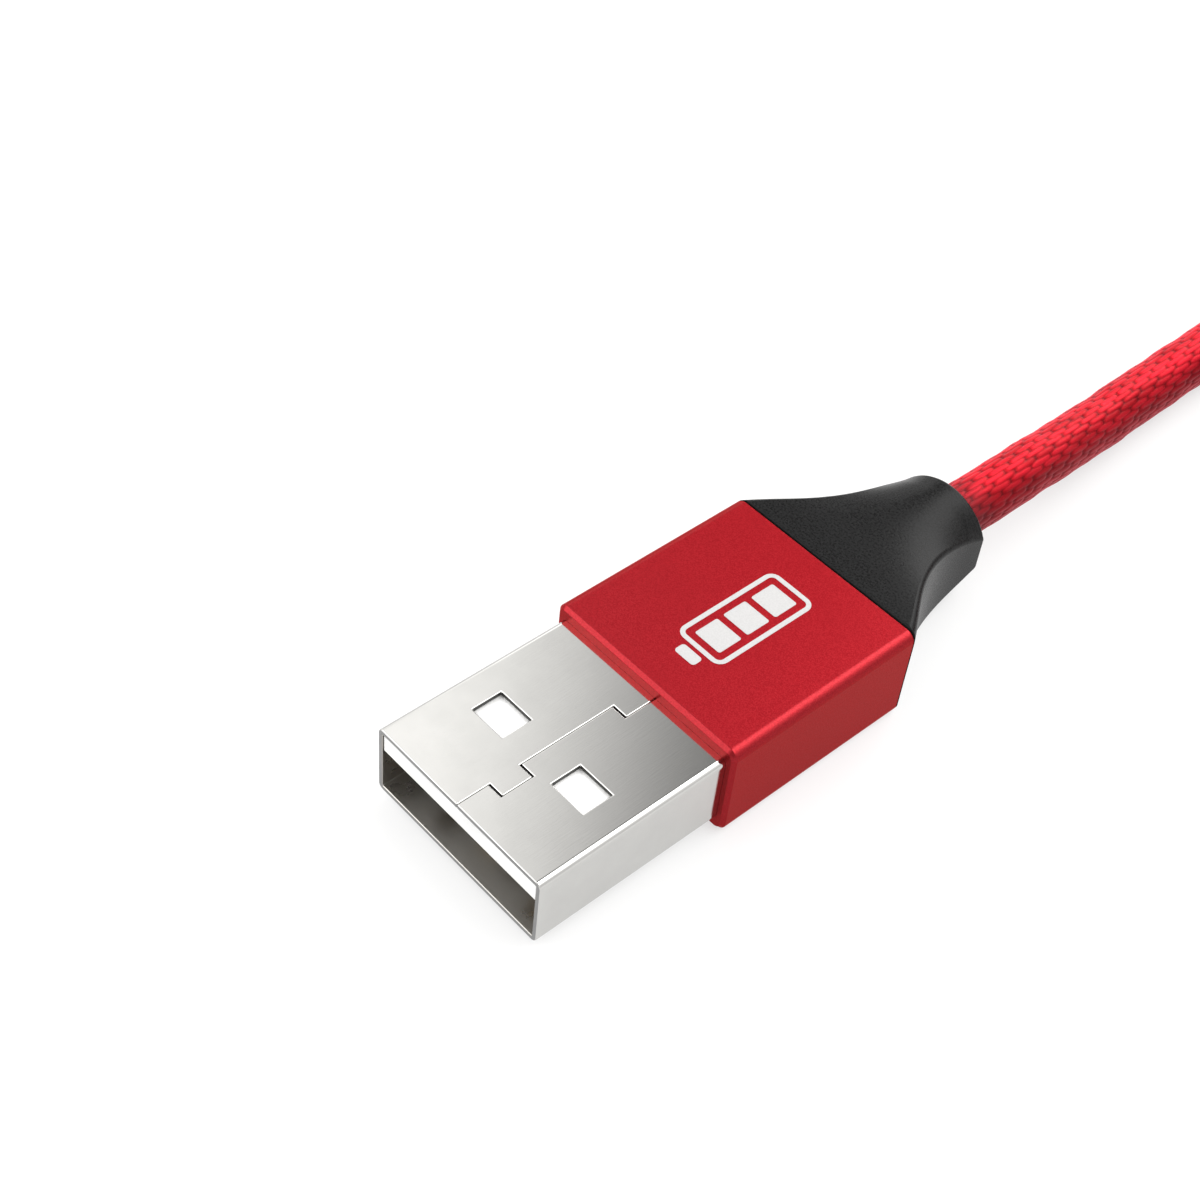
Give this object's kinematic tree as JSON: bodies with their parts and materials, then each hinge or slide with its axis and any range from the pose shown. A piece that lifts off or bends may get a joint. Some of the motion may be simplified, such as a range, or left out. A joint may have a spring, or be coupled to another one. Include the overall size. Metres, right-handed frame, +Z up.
{
  "type": "charging_cable",
  "caption": "Phone charging cable with a flat USB-A plug, red metal housings, black tapered strain reliefs, red braided cord in a strapped hank and a USB-C plug.",
  "frame": {"origin": "under the middle of the USB-A plug, on the surface that it lies on: the middle of the bottom of the box of the plug and its strain relief, without the cord and what is on the cord", "axes": "+Z up; the USB-A plug's axis lies along Y, with its tip towards -Y and its strain relief and cord towards +Y; X runs across the plug, with the fold seam of its shell on top"},
  "size_m": [0.0297, 0.1435, 0.0161],
  "materials": {
    "steel": "bright nickel-plated sheet steel",
    "white_plastic": "smooth white insulator plastic; the white print on the housing takes this finish too",
    "black_plastic": "smooth black insulator plastic",
    "gold": "gold-plated spring contacts",
    "red_aluminium": "red anodised, fine bead-blast grain",
    "black_rubber": "matte charcoal elastomer with fine grain",
    "red_braid": "glossy braided yarn",
    "strap": "black hook-and-loop strap",
    "mould": "inner hot-melt mould",
    "board": "green solder-masked board",
    "wire_red": "wire insulation",
    "wire_white": "wire insulation",
    "wire_green": "wire insulation",
    "wire_black": "wire insulation"
  },
  "bodies": {
    "root": {"contact_a12_c": "gold", "contact_a1_c": "gold", "contact_a4_c": "gold", "contact_a5_c": "gold", "contact_a6_c": "gold", "contact_a7_c": "gold", "contact_a9_c": "gold", "contact_b12_c": "gold", "contact_b1_c": "gold", "contact_b4_c": "gold", "contact_b9_c": "gold", "contact_data_minus_a": "gold", "contact_data_plus_a": "gold", "contact_ground_a": "gold", "contact_power_a": "gold", "cord_end_a": "red_braid", "cord_end_c": "red_braid", "cord_hank": "red_braid", "cord_run": "red_braid", "cord_tail": "red_braid", "ground_spring_bottom_c": "steel", "ground_spring_top_c": "steel", "housing_a": "red_aluminium", "housing_c": "red_aluminium", "inner_mould_a": "mould", "inner_mould_c": "mould", "insulator_a": "white_plastic", "insulator_c": "black_plastic", "paddle_board_c": "board", "resistor_c": "black_plastic", "shell_a": "steel", "shell_c": "steel", "shield_can_a": "steel", "shield_can_c": "steel", "side_latch_left_c": "steel", "side_latch_right_c": "steel", "strain_relief_a": "black_rubber", "strain_relief_c": "black_rubber", "tie_strap": "strap", "wire_black_a": "wire_black", "wire_black_c": "wire_black", "wire_green_a": "wire_green", "wire_green_c": "wire_green", "wire_red_a": "wire_red", "wire_red_c": "wire_red", "wire_white_a": "wire_white", "wire_white_c": "wire_white"}
  },
  "joints": []
}
